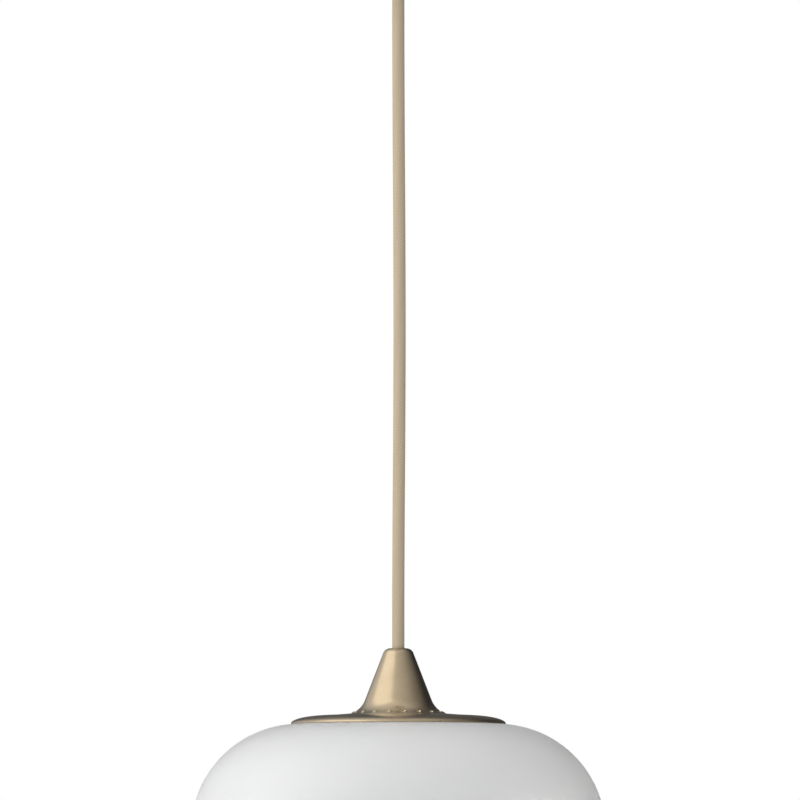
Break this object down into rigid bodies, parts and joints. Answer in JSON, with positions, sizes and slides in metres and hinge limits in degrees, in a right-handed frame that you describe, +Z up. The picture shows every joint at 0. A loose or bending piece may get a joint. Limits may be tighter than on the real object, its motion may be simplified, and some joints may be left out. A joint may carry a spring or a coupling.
{
  "type": "pendant ceiling light",
  "caption": "Pendant ceiling light: rounded opal glass shade open underneath, flat brass lid, vented cone cap, straight textile cord and a round ceiling cup.",
  "frame": {"origin": "middle of the ceiling bracket's upper face, where it meets the ceiling", "axes": "+Z up into the ceiling, along the lamp's axis; the lamp hangs along -Z. X and Y level; seen from the front, looking along +Y, +X is to the right."},
  "size_m": [0.1984, 0.1984, 0.5687],
  "materials": {
    "satin_brass": "satin, lacquered champagne brass",
    "plain_brass": "machined",
    "zinc_steel": "zinc plated",
    "nickel": "nickel plated",
    "opal_glass": "satin, white all through",
    "textile_cord": "woven, satin",
    "white_nylon": "matt",
    "white_silicone": "matt",
    "phenolic": "satin black",
    "porcelain": "glazed",
    "bulb_plastic": "satin white",
    "circuit_board": "solder resist",
    "brown_core": "satin",
    "blue_core": "satin",
    "earth_core": "satin"
  },
  "bodies": {
    "bracket": {"ceiling_bracket": "zinc_steel", "bracket_earth_screw": "plain_brass"},
    "canopy": {"canopy_cup": "satin_brass", "canopy_screw_left": "satin_brass", "canopy_screw_right": "satin_brass", "cord_grip_barrel": "satin_brass", "cord_grip_screw": "white_nylon", "cord_grip_washer": "zinc_steel", "cord_grip_nut": "plain_brass", "canopy_earth_tag": "plain_brass", "canopy_earth_lead": "earth_core", "cord_entry": "textile_cord", "terminal_block": "white_nylon", "canopy_core_live": "brown_core", "canopy_core_earth": "earth_core", "canopy_core_neutral": "blue_core", "block_screw_live": "zinc_steel", "block_screw_earth": "zinc_steel", "block_screw_neutral": "zinc_steel"},
    "cord_top": {"cord_neck": "textile_cord"},
    "cord_hang": {"cord": "textile_cord"},
    "head": {"cord_tail": "textile_cord", "nipple": "plain_brass", "cord_clamp_body": "white_nylon", "cord_clamp_nut": "white_nylon", "nipple_upper_nut": "plain_brass", "nipple_washer": "zinc_steel", "nipple_lower_nut": "plain_brass", "lid_disc": "satin_brass", "lid_gasket": "white_silicone", "lampholder_cap": "phenolic", "lampholder_skirt": "phenolic", "lampholder_insert": "porcelain", "screw_shell": "plain_brass", "centre_contact": "plain_brass", "holder_core_live": "brown_core", "holder_core_earth": "earth_core", "holder_core_neutral": "blue_core", "holder_screw_live": "zinc_steel", "holder_screw_earth": "zinc_steel", "holder_screw_neutral": "zinc_steel"},
    "cap_shell": {"cap": "satin_brass"},
    "shade": {"opal_shade_crown": "opal_glass", "opal_shade_waist": "opal_glass", "opal_shade_mouth": "opal_glass", "shade_gasket": "white_silicone", "clamp_dish": "zinc_steel"},
    "ring": {"shade_ring": "phenolic"},
    "bulb": {"bulb_contact": "nickel", "bulb_insulator": "phenolic", "bulb_cap": "nickel", "bulb_housing": "bulb_plastic", "bulb_led_board": "circuit_board", "bulb_driver_board": "circuit_board", "bulb_globe": "bulb_plastic"}
  },
  "joints": [
    {"name": "canopy_drop", "type": "slide", "parent": "bracket", "child": "canopy", "axis": [0, 0, -1], "range_m": [0, 0.04]},
    {"name": "swing_x", "type": "hinge", "parent": "canopy", "child": "cord_top", "pos_m": [0, 0, -0.0563], "axis": [1, 0, 0], "range_deg": [-20, 20], "deforming": ["cord_neck"]},
    {"name": "swing_y", "type": "hinge", "parent": "cord_top", "child": "cord_hang", "pos_m": [0, 0, -0.0563], "axis": [0, 1, 0], "range_deg": [-20, 20], "deforming": ["cord"]},
    {"name": "head_turn", "type": "hinge", "parent": "cord_hang", "child": "head", "pos_m": [0, 0, -0.3893], "axis": [0, 0, 1], "range_deg": [-120, 120]},
    {"name": "cap_lift", "type": "slide", "parent": "head", "child": "cap_shell", "axis": [0, 0, 1], "range_m": [0, 0.04]},
    {"name": "shade_drop", "type": "slide", "parent": "head", "child": "shade", "axis": [0, 0, -1], "range_m": [0, 0.012]},
    {"name": "ring_turn", "type": "hinge", "parent": "shade", "child": "ring", "pos_m": [0, 0, -0.45], "axis": [0, 0, -1], "range_deg": [0, 1441]},
    {"name": "bulb_out", "type": "slide", "parent": "head", "child": "bulb", "axis": [0, 0, -1], "range_m": [0, 0.025]}
  ],
  "couplings": [
    {"joint": "ring_turn", "follows": "shade_drop", "rad_per_m": 2094.4}
  ]
}
